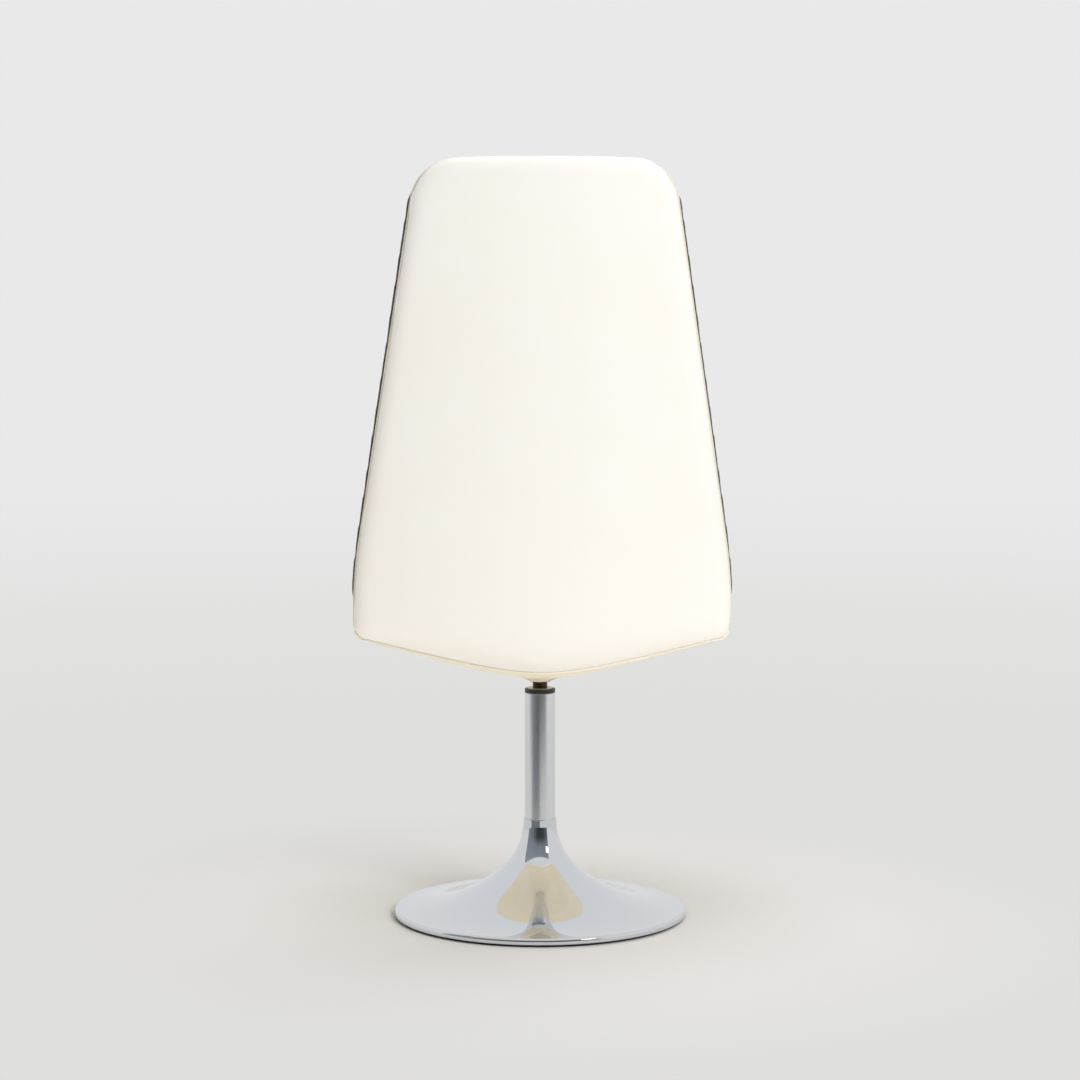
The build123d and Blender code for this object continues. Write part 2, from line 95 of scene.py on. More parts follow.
def make_object(name, points, faces, outwards=None):
    """Mesh object from points in millimetres; outwards is a direction that an open sheet faces."""
    mesh = bpy.data.meshes.new(name)
    mesh.from_pydata((points.reshape(-1, 3) * MM).tolist(), [], faces.tolist())
    work = bmesh.new()
    work.from_mesh(mesh)
    bmesh.ops.remove_doubles(work, verts=work.verts, dist=merge_distance)
    bmesh.ops.recalc_face_normals(work, faces=work.faces)
    work.to_mesh(mesh)
    work.free()
    if outwards is not None:
        normals = np.empty(len(mesh.polygons) * 3)
        mesh.polygons.foreach_get("normal", normals)
        if (normals.reshape(-1, 3) @ np.array(outwards)).sum() < 0:
            mesh.flip_normals()
    mesh.polygons.foreach_set("use_smooth", np.ones(len(mesh.polygons), bool))
    made = bpy.data.objects.new(name, mesh)
    bpy.context.scene.collection.objects.link(made)
    print(name + ":", len(mesh.vertices), "points,", len(mesh.polygons), "faces")
    return made


def make_piece(name, points, faces, body, outwards=None):
    """Object that belongs to the chair: it rides on a body."""
    piece = make_object(name, points, faces, outwards)
    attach(piece, body)
    return piece


# %% [markdown]
# ## Shape of the bucket
# Back and seat are one folded shell. Seen from the side its outer face is a straight back, a
# round fold and a straight seat. Seen across, the back is cupped and the seat rises from a soft
# keel, and the fold is wide at the keel and tight at the sides. So a point has three plain
# coordinates: x across, run along the profile from the middle of the fold, and depth below
# the outer face. These are the same values as in the CAD source.

# %% Bucket values and formula
half_width = 241.0
recline, seat_rise = 12.0, 7.0
back_setback = np.array([190.0, 405.0])
seat_bottom = np.array([0.0, 338.5])
back_cup, seat_cup, keel_softness = 34.0, 62.0, 76.0
keel_radius, corner_fold_radius = 100.0, 30.0


def turned(angle):
    """Unit vector (y, z) that points down at angle 0 and backward at a right angle."""
    return np.stack([np.sin(angle), -np.cos(angle)], axis=-1)


back_turn = np.radians(90.0 - recline)
seat_turn = np.radians(-seat_rise)
fold_middle = (back_turn + seat_turn) / 2
fold_half = (back_turn - seat_turn) / 2
back_out, back_up = turned(back_turn), turned(back_turn + np.pi / 2)
seat_out, seat_forward = turned(seat_turn), turned(seat_turn - np.pi / 2)
back_offset = back_setback @ back_out
seat_offset = seat_bottom @ seat_out


def fold_radius(x):
    """Outer radius of the fold: it shrinks with the square of x from the keel to the side."""
    return keel_radius + (corner_fold_radius - keel_radius) * (x / half_width) ** 2


def fold_centre(x):
    """Centre (y, z) of the fold: one fold radius inside the back face and inside the seat face."""
    rise = np.hypot(x, keel_softness) - keel_softness
    full = np.hypot(half_width, keel_softness) - keel_softness
    back = back_offset - back_cup * (x / half_width) ** 2 - fold_radius(x)
    seat = seat_offset - seat_cup * rise / full - fold_radius(x)
    both = np.stack([back, seat], axis=-1)
    return both @ np.linalg.inv(np.stack([back_out, seat_out])).T


def bucket(x, run, depth):
    """Point of the bucket: fold centre, plus the normal at this run times radius less depth,
    plus the straight part of the run up the back or forward under the seat."""
    arc_half = fold_radius(x) * fold_half
    bent = np.clip(run, -arc_half, arc_half)
    normal = turned(fold_middle + bent / fold_radius(x))
    straight = (run - bent)[..., None]
    yz = fold_centre(x) + normal * (fold_radius(x) - depth)[..., None]
    yz = yz + back_up * np.maximum(straight, 0) + seat_forward * np.maximum(-straight, 0)
    return np.concatenate([x[..., None], yz], axis=-1)


def unfolded(points):
    """The same three coordinates (x, run, depth) of points in space, found back from the fold centre."""
    x = points[..., 0]
    radius = fold_radius(x)
    arm = points[..., 1:] - fold_centre(x)
    up, forward = arm @ back_up, arm @ seat_forward
    length = np.linalg.norm(arm, axis=-1)
    angle = np.arctan2(arm[..., 0], -arm[..., 1]) - fold_middle
    on_back = (up > 0) & (arm @ back_out > 0)
    on_seat = ~on_back & (forward > 0)
    run = np.where(on_back, radius * fold_half + up, radius * angle)
    run = np.where(on_seat, -radius * fold_half - forward, run)
    depth = np.where(on_back, radius - arm @ back_out, radius - length)
    depth = np.where(on_seat, radius - arm @ seat_out, depth)
    return np.stack([x, run, depth], axis=-1)


probe = np.array([[0.0, -40.0, 5.0], [150.0, 200.0, 30.0], [-200.0, -250.0, 12.0]])
there = bucket(probe[:, 0], probe[:, 1], probe[:, 2])
print("bucket: there and back within", np.abs(unfolded(there) - probe).max().round(6), "mm")

# %% [markdown]
# ## Rim of the bucket
# From behind, the back is a tall trapezoid with round upper corners, and the seat ends in a
# gently bowed front edge. Each outline is a few straight runs whose corners are replaced by
# tangent arcs. Joined over the fold, they make one closed rim in the flat coordinates x and run.
# The cover ends a little inside that rim, so the padding shows beside it, and at the top it is
# drawn up until it hides the padding.

# %% Outlines and rim
def rounded(corners, radii, steps=24):
    """Open line whose inner corners become arcs: each arc touches both runs, and its points turn
    evenly from the first touching point to the second about the arc's centre."""
    corners, radii = np.asarray(corners, float), np.asarray(radii, float)[:, None]
    middle = corners[1:-1]
    before = corners[:-2] - middle
    after = corners[2:] - middle
    before = before / np.linalg.norm(before, axis=1, keepdims=True)
    after = after / np.linalg.norm(after, axis=1, keepdims=True)
    half = np.arccos((before * after).sum(1, keepdims=True)) / 2
    bisector = (before + after) / np.linalg.norm(before + after, axis=1, keepdims=True)
    centre = middle + bisector * radii / np.sin(half)
    first = middle + before * radii / np.tan(half) - centre
    second = middle + after * radii / np.tan(half) - centre
    swing = np.pi - 2 * half
    share = np.linspace(0, 1, steps)
    weight_first = np.sin((1 - share) * swing) / np.sin(swing)
    weight_second = np.sin(share * swing) / np.sin(swing)
    arcs = centre[:, None] + first[:, None] * weight_first[..., None]
    arcs = arcs + second[:, None] * weight_second[..., None]
    return np.concatenate([corners[:1], arcs.reshape(-1, corners.shape[1]), corners[-1:]])


def evenly(line, count):
    """The same line with count points at even distances along it."""
    steps = np.linalg.norm(np.diff(line, axis=0), axis=1)
    length = np.concatenate([[0.0], np.cumsum(steps)])
    wanted = np.linspace(0, length[-1], count)
    return np.stack([np.interp(wanted, length, column) for column in line.T], axis=-1)


def grown(line, margin):
    """Line moved sideways by a margin, to the left of its direction."""
    along = np.gradient(line, axis=0)
    along = along / np.linalg.norm(along, axis=1, keepdims=True)
    return line + margin * np.stack([-along[:, 1], along[:, 0]], axis=-1)


def mirrored_outline(right, tip):
    """Outline over its tip: the right side's corners, and the same with x turned round on the left."""
    return [*((-x, along) for x, along in right[::-1]), (0.0, tip), *right]


back_height, hip_height, seat_front = 981.0, 452.0, -265.0
back_taper, seat_taper, top_bow, front_bow = 84.0, 35.0, 4.0, 14.0
back_start, seat_start = 300.0, -180.0
back_radii, seat_radii = (700, 60, 3000, 60, 700), (900, 85, 900, 85, 900)

back_top = (back_height - back_offset * back_out[1]) / back_up[1]
back_hip = (hip_height - back_offset * back_out[1]) / back_up[1]
seat_end = (seat_front - seat_offset * seat_out[0]) / seat_forward[0]
top_corner = (half_width - back_taper, back_top - top_bow)
front_corner = (half_width - seat_taper, seat_end - front_bow)
right_back = [top_corner, (half_width, back_hip), (half_width, back_start)]
right_seat = [front_corner, (half_width, 0.0), (half_width, seat_start)]
back_line = rounded(mirrored_outline(right_back, back_top), back_radii)
seat_line = rounded(mirrored_outline(right_seat, seat_end), seat_radii)


def rim_line(margin, spacing=2.0):
    """Closed rim (x, run) grown by a margin: over the back, down the right side, round the seat."""
    back = grown(evenly(back_line, 800), margin)
    seat = grown(evenly(seat_line, 500), margin)
    centre = fold_centre(np.full(1, half_width + margin))[0]
    back = back[back[:, 1] > centre @ back_up]
    seat = seat[seat[:, 1] > centre @ seat_forward]
    back_run = back[:, 1] - fold_centre(back[:, 0]) @ back_up + fold_radius(back[:, 0]) * fold_half
    seat_run = seat[:, 1] - fold_centre(seat[:, 0]) @ seat_forward + fold_radius(seat[:, 0]) * fold_half
    over = np.stack([back[:, 0], back_run], axis=-1)
    under = np.stack([seat[:, 0], -seat_run], axis=-1)[::-1]
    loop = np.concatenate([over, under, over[:1]])
    length = np.linalg.norm(np.diff(loop, axis=0), axis=1).sum()
    return evenly(loop, int(length / spacing) + 1)[:-1]


def eased(value, low, high):
    """Smooth step from 0 at low to 1 at high."""
    share = np.clip((value - low) / (high - low), 0, 1)
    return share * share * (3 - 2 * share)


cover_inset, top_lift, lift_reach = 5.5, 8.0, 70.0
rim = rim_line(-cover_inset)
rim[:, 1] += top_lift * eased(rim[:, 1], rim[:, 1].max() - lift_reach, rim[:, 1].max())
print("rim:", len(rim), "points, runs", rim[:, 1].min().round(1), "to", rim[:, 1].max().round(1), "mm")

# %% [markdown]
# ## Seam between back and underside
# The outer cover is sewn from two panels. Their seam lies in a plane that cuts the fold, low at
# the keel and higher at the sides, so from behind it shows as a wide rounded V. At both ends it
# turns up round a soft corner into the rim.

# %% Seam line
seam_angle, seam_pull = np.radians(28.0), 4.0
keel = np.zeros(1)
seam_start = bucket(keel, fold_radius(keel) * (seam_angle - fold_middle), keel)[0, 1:]
seam_end = fold_centre(np.full(1, half_width))[0]
seam_lean = np.arctan2(seam_start[0] - seam_end[0], seam_end[1] - seam_start[1])


def seam_run(x):
    """Run of the seam at x: the angle at which the seam plane meets the fold's arc, drawn up a
    little towards the sides, where the cloth pulls."""
    across = (seam_start - fold_centre(x)) @ np.array([np.cos(seam_lean), np.sin(seam_lean)])
    angle = seam_lean + np.arcsin(across / fold_radius(x))
    return fold_radius(x) * (angle - fold_middle) + seam_pull * (x / half_width) ** 2


corner_round, corner_dip, corner_rise = 10.0, 4.0, 40.0
cover_half = half_width - cover_inset
seam_x = np.linspace(-cover_half, cover_half, 241)[10:-10]
seam_middle = np.stack([seam_x, seam_run(seam_x)], axis=-1)
seam_foot = seam_run(np.full(1, cover_half - corner_round))[0]
corner_low, corner_high = (cover_half, seam_foot - corner_dip), (cover_half, seam_foot + corner_rise)
right_end = rounded([seam_middle[-2], corner_low, corner_high], [corner_round])[1:-1]
left_end = (right_end * np.array([-1.0, 1.0]))[::-1]
seam = evenly(np.concatenate([left_end, seam_middle, right_end]), 281)
print("seam: runs", seam[:, 1].min().round(1), "to", seam[:, 1].max().round(1), "mm")

# %% [markdown]
# ## Outer covers
# The cover is coated cloth pulled over a thin layer of wadding, so it lies on the shell and
# rolls over at the rim like the edge of a book cover. A flat sheet with a bevel would look hard.
# Each panel is a fan of rings: the outermost ring is the panel's own edge, and the rings inside
# shrink towards a point or a hole in the middle. The distance to the rim sets how far a point has
# rolled down, and the distance to the seam how far it is pulled into the seam.

# %% Rolled edge
roll_width, roll_depth, roll_power = 21.0, 9.7, 2.5
tuck_depth, tuck_width = 1.8, 6.0


def distance(points, line):
    """Distance of each grid point to the nearest point of a line, ring by ring."""
    gaps = [np.sqrt(((ring[:, None] - line) ** 2).sum(-1).min(1)) for ring in points]
    return np.stack(gaps)


def cover_depth(flat):
    """Depth of the cover: a rounded roll to the rim, and a soft tuck into the seam."""
    inside = np.clip(distance(flat, rim) / roll_width, 0, 1)
    roll = roll_depth * (1 - np.sqrt(1 - (1 - inside) ** roll_power))
    tuck = tuck_depth * np.exp(-((distance(flat, seam) / tuck_width) ** 2))
    return np.maximum(roll, tuck)


def fan(edge, middle, rings, bunch=1.6):
    """Rings from an edge loop to its middle, closer together near the edge."""
    share = np.linspace(0, 1, rings)[:, None, None] ** bunch
    return edge + (middle - edge) * share


# %% Back panel
keep = rim[:, 1] > seam[0, 1]
first = np.flatnonzero(keep & ~np.roll(keep, 1))[0]
ordered = np.roll(rim, -first, axis=0)
above, below = ordered[: keep.sum()], ordered[keep.sum() :]


def panel_edge(side, stitched, count):
    """Closed edge of a panel: its side of the rim, then the seam, then back to the start."""
    return evenly(np.concatenate([side, stitched, side[:1]]), count + 1)[:-1]


back_rings, back_columns, back_pole = 64, 520, np.array([0.0, 300.0])
back_flat = fan(panel_edge(above, seam[::-1], back_columns), back_pole, back_rings)
back_points = bucket(back_flat[..., 0], back_flat[..., 1], cover_depth(back_flat))
back_faces = grid_faces(back_rings, back_columns, ring_columns=True)
back_panel = make_piece("back_panel", back_points, back_faces, "seat", (0, 1, 0))
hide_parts("back_cover")

# %% [markdown]
# ## Underside
# Under the seat the same cloth is drawn down to the spindle like a shallow tent, and it is
# turned in round a hem there. The panel is a fan again, this time towards a round hole. Where
# the tent hangs lower than the seat, a soft minimum lets one surface flow into the other.

# %% Underside panel
under_rings, under_columns, blend_softness = 72, 480, 2.0
hem_radius, hem_height, hem_ease, tent_reach, tent_top = 13.6, 311.2, 12.0, 185.0, 390.0
tent_corners = [(hem_radius, hem_height), (35.0, 321.0), (95.0, 335.0), (tent_reach, tent_top)]
tent_line = rounded(tent_corners, (30, 260))


def tented(points):
    """Lowers points to the tent: its side view is a rounded line of radius and height, and a soft
    minimum joins it to the seat."""
    out = np.hypot(points[..., 0], points[..., 1])
    tent = np.interp(out, tent_line[:, 0], tent_line[:, 1])
    soft = -blend_softness * np.logaddexp(-tent / blend_softness, -points[..., 2] / blend_softness)
    ease = np.clip((out - hem_radius) / hem_ease, 0, 1)
    lowered = points.copy()
    lowered[..., 2] = np.where(out < tent_reach, tent + (soft - tent) * ease, points[..., 2])
    return lowered


under_edge = panel_edge(below, seam, under_columns)
hole = unfolded(np.array([0.0, *seat_bottom]))[:2]
spoke = under_edge - hole
spoke = spoke / np.linalg.norm(spoke, axis=1, keepdims=True)
under_flat = fan(under_edge, hole + spoke * hem_radius, under_rings, 1.35)
under_points = tented(bucket(under_flat[..., 0], under_flat[..., 1], cover_depth(under_flat)))
compass = under_points[-1, :, :2] / np.linalg.norm(under_points[-1, :, :2], axis=1, keepdims=True)
hem_rest = [(13.5, 310.5), (13.1, 310.1), (12.7, 310.0), (12.4, 310.3), (12.3, 313.0)]
hem_profile = np.array([(hem_radius, hem_height), *hem_rest])
hem_ring = compass * hem_profile[:, :1, None]
hem = np.concatenate([hem_ring, 0 * hem_ring[..., :1] + hem_profile[:, 1:, None]], axis=-1)
under_points = np.concatenate([under_points[:-1], hem])
under_faces = grid_faces(len(under_points), under_columns, ring_columns=True)
under_panel = make_piece("underside_panel", under_points, under_faces, "seat", (0, 0, -1))
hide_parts("underside_cover")

# %% [markdown]
# Coated cloth is about a millimetre thick. Solidify gives both panels that thickness inwards.

# %% Thickness of the cloth
cloth_thickness = 1.2
for panel in (back_panel, under_panel):
    wall = panel.modifiers.new("cloth_thickness", "SOLIDIFY")
    wall.thickness = cloth_thickness * MM
    wall.offset = -1.0
print("cloth:", cloth_thickness, "mm thick")

# %% [markdown]
# ## Piping
# A welt is a cord in a folded strip of the same cloth. One runs round the rim, between cover
# and padding, and one lies in the seam. At the top edge the rim cord sits a little lower, behind
# the cover. A round profile is carried along the line: at each point the profile stands across
# the line's direction.

# %% Welts
def piping(name, flat, depth, radius, closed, sides=16):
    """Tube along a line of the bucket: ring points are centre + radius (cos a normal + sin a side)."""
    line = bucket(flat[:, 0], flat[:, 1], depth)
    normal = bucket(flat[:, 0], flat[:, 1], depth - 1.0) - line
    ahead, behind = np.roll(line, -1, axis=0), np.roll(line, 1, axis=0)
    along = ahead - behind if closed else np.gradient(line, axis=0)
    along = along / np.linalg.norm(along, axis=1, keepdims=True)
    side = np.cross(along, normal)
    side = side / np.linalg.norm(side, axis=1, keepdims=True)
    normal = np.cross(side, along)
    angle = np.linspace(0, 2 * np.pi, sides, endpoint=False)[:, None]
    size = np.full(len(line), radius)
    if not closed:
        size[[0, -1]] = 0.0
    ring = np.cos(angle)[..., None] * normal + np.sin(angle)[..., None] * side
    points = line + ring * size[:, None]
    faces = grid_faces(sides, len(line), ring_rows=True, ring_columns=closed)
    return make_piece(name, points, faces, "seat")


rim_cord_inset, rim_cord_depth, rim_cord_radius, rim_cord_drop = 7.0, 14.2, 3.8, 4.5
seam_cord_radius, seam_cord_stand = 1.7, 1.1
rim_path = rim_line(-rim_cord_inset)
top_run = rim_path[:, 1].max()
rim_path[:, 1] -= rim_cord_drop * eased(rim_path[:, 1], top_run - 60.0, top_run - 8.0)
rim_welt = piping("rim_piping", rim_path, np.full(len(rim_path), rim_cord_depth), rim_cord_radius, True)
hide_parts("edge_welt")
welt_depth = cover_depth(seam[None])[0] - seam_cord_stand
seam_piping = piping("seam_piping", seam, welt_depth, seam_cord_radius, False)
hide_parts("seam_welt")

# %% [markdown]
# ## Turned metal
# The base is spun from sheet over a form, and the column and its bearing parts are turned. All
# are a profile in radius and height carried once round the swivel axis. Chrome mirrors every
# flat facet, so the profiles have many points and their edges are slightly rounded.

# %% Spinning a profile
def revolved(profile, turns):
    """Profile (radius, height) carried round the Z axis: x = r cos a, y = r sin a."""
    angle = np.linspace(0, 2 * np.pi, turns, endpoint=False)
    radius, height = profile[:, :1], profile[:, 1:]
    return np.stack([radius * np.cos(angle), radius * np.sin(angle), height + 0 * angle], axis=-1)


def spun(name, profile, turns=192):
    """Turned piece of the base from a closed profile."""
    faces = grid_faces(len(profile), turns, ring_rows=True, ring_columns=True)
    return make_piece(name, revolved(profile, turns), faces, "base")


def arc(start, heading, radius, swing, steps):
    """Points and headings of an arc that leaves start at a heading and turns left by swing degrees."""
    angle = np.radians(heading + np.linspace(0, swing, steps))
    path = np.stack([np.sin(angle) - np.sin(angle[0]), np.cos(angle[0]) - np.cos(angle)], axis=-1)
    return start + path * radius * np.sign(swing), angle


# %% Trumpet base
sheet, neck_middle, rim_middle = 1.6, 20.85, 190.2
neck_top, neck_foot, flare_radius, flare_turn = 128.5, 125.5, 84.0, 50.0
rim_height, rim_roll, rim_foot = 10.0, 3.5, 3.0
downward = -90.0

neck = np.stack([np.full(8, neck_middle), np.linspace(neck_top, neck_foot, 8)], axis=-1)
flare, flare_heading = arc(neck[-1], downward, flare_radius, flare_turn, 48)
chord = np.array([rim_middle - rim_roll, rim_height]) - flare[-1]
half_swing = np.degrees(np.arctan2(chord[1], chord[0]) - flare_heading[-1])
skirt_radius = np.linalg.norm(chord) / 2 / np.sin(np.radians(half_swing))
skirt, skirt_heading = arc(flare[-1], np.degrees(flare_heading[-1]), skirt_radius, 2 * half_swing, 60)
last = np.degrees(skirt_heading[-1])
roll, roll_heading = arc(skirt[-1], last, rim_roll, downward - last, 14)
drop = np.stack([np.full(4, roll[-1, 0]), np.linspace(roll[-1, 1], rim_foot, 4)], axis=-1)
wall_line = np.concatenate([neck, flare[1:], skirt[1:], roll[1:], drop[1:]])
neck_heading = np.full(len(neck), np.radians(downward))
drop_heading = np.full(len(drop), np.radians(downward))
bends = [flare_heading[1:], skirt_heading[1:], roll_heading[1:]]
heading = np.concatenate([neck_heading, *bends, drop_heading[1:]])
outward = np.stack([-np.sin(heading), np.cos(heading)], axis=-1) * sheet / 2
trumpet_profile = np.concatenate([wall_line + outward, (wall_line - outward)[::-1]])
trumpet = spun("trumpet_base", trumpet_profile, 256)
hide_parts("trumpet")
print("trumpet: skirt radius", skirt_radius.round(1), "mm")

# %% Column and bearing parts
def turned_loop(corners, radius):
    """Closed profile with all its corners rounded by one small radius."""
    corners = np.asarray(corners, float)
    start = (corners[:1] + corners[-1:]) / 2
    line = np.concatenate([start, corners, start])
    return rounded(line, np.full(len(corners), radius), 6)[:-1]


def ring_corners(bore, outside, low, high):
    """Four corners of a plain ring's profile."""
    return [(bore, low), (outside, low), (outside, high), (bore, high)]


tube_bore, tube_half, tube_foot, tube_top = 18.0, 20.0, 9.0, 295.0
bush_bore, bush_half, bush_foot, flange_top = 9.55, 17.98, 253.0, 300.0
washer_bore, washer_half, washer_top = 9.8, 16.5, 301.5
tube_corners = ring_corners(tube_bore, tube_half, tube_foot, tube_top)
column = spun("column", turned_loop(tube_corners, 0.5))
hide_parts("column_tube")
sleeve = [(bush_bore, bush_foot), (bush_half, bush_foot), (bush_half, tube_top)]
collar = [(tube_half, tube_top), (tube_half, flange_top), (bush_bore, flange_top)]
flange = spun("bearing_flange", turned_loop(sleeve + collar, 0.6))
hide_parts("upper_bush")
washer_corners = ring_corners(washer_bore, washer_half, flange_top, washer_top)
washer = spun("thin_washer", turned_loop(washer_corners, 0.4))
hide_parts("top_washer")

# %% [markdown]
# ## Padding
# In front of the shell lie two foam pads under dark cloth, one for the back and one for the
# seat. From behind only their edge shows, as a dark line beside the piping. Each pad starts from
# a copy of its foam solid, remeshed evenly, and is blown up by cloth pressure, so its faces crown
# and its edges round off by themselves. The face against the shell is held, and no point
# swells further than the thickness of the cloth and wadding over the foam. At last the pad is
# stretched a little sideways, because the cloth is drawn tight round its edge.

# %% Stuffing a pad
swell, voxel, blow_frames = 5.6, 6.0, 20
pad_depth, held_depth, loose_from, loose_over = 19.6, 2.0, 1.0, 7.0
side_draw = np.array([1.016, 1.0, 1.0])


def mesh_points(mesh):
    """All points of a mesh, in millimetres."""
    points = np.empty(len(mesh.vertices) * 3)
    mesh.vertices.foreach_get("co", points)
    return points.reshape(-1, 3) / MM


def plain_mesh(thing):
    """Mesh of an object after its modifiers, with its points."""
    view = bpy.context.evaluated_depsgraph_get()
    mesh = bpy.data.meshes.new_from_object(thing.evaluated_get(view))
    return mesh, mesh_points(mesh)


def even_copy(node):
    """Copy of a CAD solid: triangles merged, remeshed in even cells, laid on the solid and smoothed."""
    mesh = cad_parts[node].data.copy()
    work = bmesh.new()
    work.from_mesh(mesh)
    bmesh.ops.remove_doubles(work, verts=work.verts, dist=merge_distance)
    work.to_mesh(mesh)
    work.free()
    copy = bpy.data.objects.new(node + "_start", mesh)
    bpy.context.scene.collection.objects.link(copy)
    cells = copy.modifiers.new("cells", "REMESH")
    cells.mode = "VOXEL"
    cells.voxel_size = voxel * MM
    fit = copy.modifiers.new("fit", "SHRINKWRAP")
    fit.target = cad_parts[node]
    soften = copy.modifiers.new("soften", "SMOOTH")
    soften.factor = 0.5
    soften.iterations = 20
    return copy


def blown(start, held):
    """Points after cloth pressure from inside; held is 1 where the pad lies on the shell."""
    group = start.vertex_groups.new(name="held")
    for level in (0.0, 1.0):
        group.add(np.flatnonzero(held == level).tolist(), level, "REPLACE")
    cloth = start.modifiers.new("fill", "CLOTH")
    cloth.settings.quality = 4
    cloth.settings.use_pressure = True
    cloth.settings.uniform_pressure_force = 4.0
    cloth.settings.effector_weights.gravity = 0.0
    cloth.settings.vertex_group_mass = "held"
    cloth.point_cache.frame_end = blow_frames
    for step in range(1, blow_frames + 1):
        bpy.context.scene.frame_set(step)
    points = plain_mesh(start)[1]
    bpy.context.scene.frame_set(1)
    return points


def spread(values, edges, rounds):
    """Evens values out over a mesh: each round puts the mean of its neighbours at every point."""
    neighbours = np.bincount(edges.ravel(), minlength=len(values))[:, None]
    for _ in range(rounds):
        total = np.zeros_like(values)
        np.add.at(total, edges[:, 0], values[edges[:, 1]])
        np.add.at(total, edges[:, 1], values[edges[:, 0]])
        values = total / neighbours
    return values


def stuffed(name, node, replaced):
    """Pad from a foam solid: each point moves by the blown-up cloth, by swell at most and less near
    the shell. The moves are evened out, and a Smooth modifier takes off the last steps."""
    copy = even_copy(node)
    mesh, points = plain_mesh(copy)
    bpy.data.objects.remove(copy)
    pad = bpy.data.objects.new(name, mesh)
    bpy.context.scene.collection.objects.link(pad)
    depth = unfolded(points)[:, 2] - pad_depth
    moved = blown(pad, (depth < held_depth).astype(float)) - points
    pad.modifiers.clear()
    edges = np.empty(len(mesh.edges) * 2, int)
    mesh.edges.foreach_get("vertices", edges)
    length = np.linalg.norm(moved, axis=1, keepdims=True)
    moved = moved * np.minimum(1, swell / np.maximum(length, 1e-6))
    loose = np.clip((depth - loose_from) / loose_over, 0, 1)[:, None]
    points = (points + spread(moved * loose, edges.reshape(-1, 2), 6)) * side_draw
    mesh.vertices.foreach_set("co", (points * MM).ravel())
    mesh.update()
    mesh.polygons.foreach_set("use_smooth", np.ones(len(mesh.polygons), bool))
    ease = pad.modifiers.new("ease", "SMOOTH")
    ease.factor, ease.iterations = 0.5, 8
    finer = pad.modifiers.new("finer", "SUBSURF")
    finer.levels = finer.render_levels = 1
    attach(pad, "seat")
    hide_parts(*replaced)
    print(name + ":", len(mesh.polygons), "faces")
    return pad


back_pad = stuffed("back_pad", "back_foam", ("back_foam", "back_inner_cover"))
seat_pad = stuffed("seat_pad", "seat_foam", ("seat_foam", "seat_inner_cover"))

# %% [markdown]
# From behind, the edge of the back pad is the dark line beside the piping. A sewn edge is straight,
# so the side is drawn out to an even width: every 10 mm of it is measured, and what it lacks is
# added to x, in full at the edge and not at all towards the middle.

# %% Even edge of the back pad
edge_shows, band_width, side_low, side_high = 5.6, 10.0, 90.0, 580.0
points = mesh_points(back_pad.data)
flat = unfolded(points)
on_side = (rim[:, 0] > 0) & (rim[:, 1] > side_low - 40.0) & (rim[:, 1] < side_high + 20.0)
right_rim = rim[on_side][::-1]
edge_x = np.interp(flat[:, 1], right_rim[:, 1], right_rim[:, 0])
beyond = np.abs(flat[:, 0]) - edge_x
bands = np.arange(side_low, side_high, band_width)
reach = np.array([beyond[np.abs(flat[:, 1] - band) < 0.6 * band_width].max() for band in bands])
lack = np.interp(flat[:, 1], bands, edge_shows - reach)
points[:, 0] += np.sign(flat[:, 0]) * lack * eased(np.abs(flat[:, 0]) / edge_x, 0.75, 0.98)
back_pad.data.vertices.foreach_set("co", (points * MM).ravel())
back_pad.data.update()
print("back_pad: edge", reach.min().round(1), "to", reach.max().round(1), "mm, drawn to", edge_shows, "mm")

# %% [markdown]
# ## Node helper and colours
# One function adds any node with its settings and links. Colours are written as sRGB hex values,
# as a colour picker shows them, and turned to the linear values that shaders use.

# %% Materials toolkit
def linear(code):
    """sRGB hex to linear RGBA: the standard curve, straight near black and a power of 2.4 above."""
    value = np.array([int(code[at : at + 2], 16) for at in (1, 3, 5)]) / 255
    value = np.where(value <= 0.04045, value / 12.92, ((value + 0.055) / 1.055) ** 2.4)
    return (*value.tolist(), 1.0)


def add_node(tree, kind, inputs=None, **settings):
    """One shader node: settings are its properties, inputs are values or the sockets that feed it."""
    node = tree.nodes.new("ShaderNode" + kind)
    for name, value in settings.items():
        setattr(node, name, value)
    for name, value in (inputs or {}).items():
        if isinstance(value, bpy.types.NodeSocket):
            tree.links.new(value, node.inputs[name])
        else:
            node.inputs[name].default_value = value
    return node


def new_finish(name, **values):
    """Material with one Principled shader whose constant values are set on its own sockets."""
    material = bpy.data.materials.new(name)
    material.use_nodes = True
    shader = material.node_tree.nodes["Principled BSDF"]
    for socket, value in values.items():
        shader.inputs[socket.replace("_", " ")].default_value = value
    return material, material.node_tree, shader


def wear(material, *pieces):
    """Gives whole pieces their finish."""
    for piece in pieces:
        piece.data.materials.clear()
        piece.data.materials.append(material)


def stretched_noise(tree, lengths_mm, detail):
    """Noise on Object coordinates whose cells have the given real lengths along x, y and z."""
    place = add_node(tree, "TexCoord").outputs["Object"]
    per_metre = [1000 / length for length in lengths_mm]
    sized = add_node(tree, "Mapping", {"Vector": place, "Scale": per_metre})
    noise = add_node(tree, "TexNoise", {"Vector": sized.outputs[0], "Scale": 1.0, "Detail": detail})
    return noise.outputs["Fac"]


# %% [markdown]
# ## Ivory coated cloth
# The cover is cotton cloth coated with soft PVC and embossed with a fine leather grain. The
# coating gives an even, slightly waxy shine. With age it yellows a little in patches, so the tone
# drifts slowly over a hand's width. A real grain is about one millimetre wide. It is drawn at two,
# because one would be finer than a pixel here.

# %% Coated cloth finish
drift_mm = 140.0


